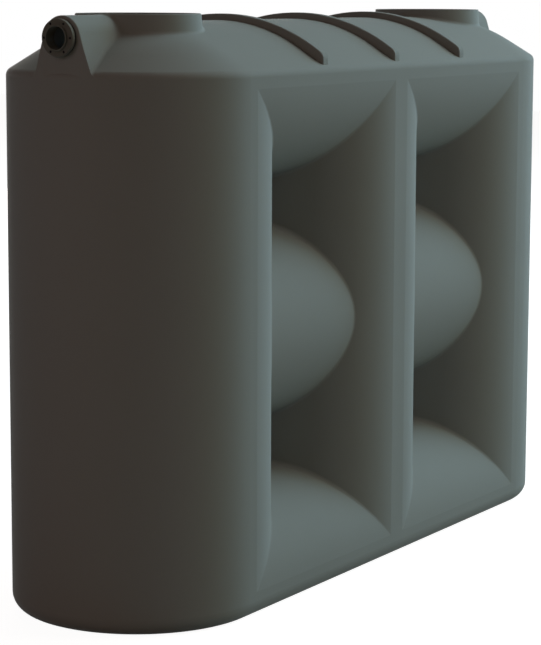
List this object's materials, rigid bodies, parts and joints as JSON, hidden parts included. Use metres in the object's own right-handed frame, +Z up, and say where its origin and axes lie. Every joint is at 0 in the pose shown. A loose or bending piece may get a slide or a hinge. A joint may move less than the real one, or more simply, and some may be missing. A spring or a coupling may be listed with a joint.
{
  "type": "slimline water tank",
  "caption": "Slimline rainwater tank moulded in plastic, with recessed bays in both long sides, a ribbed roof, inlet collars with strainer baskets, a flanged overflow and a threaded outlet.",
  "frame": {"origin": "centre of the flat base, on the floor", "axes": "+X along the tank, away from the overflow; +Y across it, from the front to the back; +Z up"},
  "size_m": [3.086, 0.9, 2.065],
  "materials": {
    "tank_plastic": "satin, finely textured, as moulded",
    "flange_plastic": "satin",
    "gasket_rubber": "matte",
    "screw_steel": "blackened",
    "strainer_plastic": "satin",
    "mesh_steel": "woven wire",
    "bush_brass": "machined"
  },
  "bodies": {
    "root": {"tank_shell": "tank_plastic", "overflow_flange": "flange_plastic", "overflow_gasket": "gasket_rubber", "overflow_screws": "screw_steel", "overflow_end_strainer": "strainer_plastic", "outlet_end_strainer": "strainer_plastic", "overflow_end_mesh": "mesh_steel", "outlet_end_mesh": "mesh_steel", "outlet_bush": "bush_brass"}
  },
  "joints": []
}
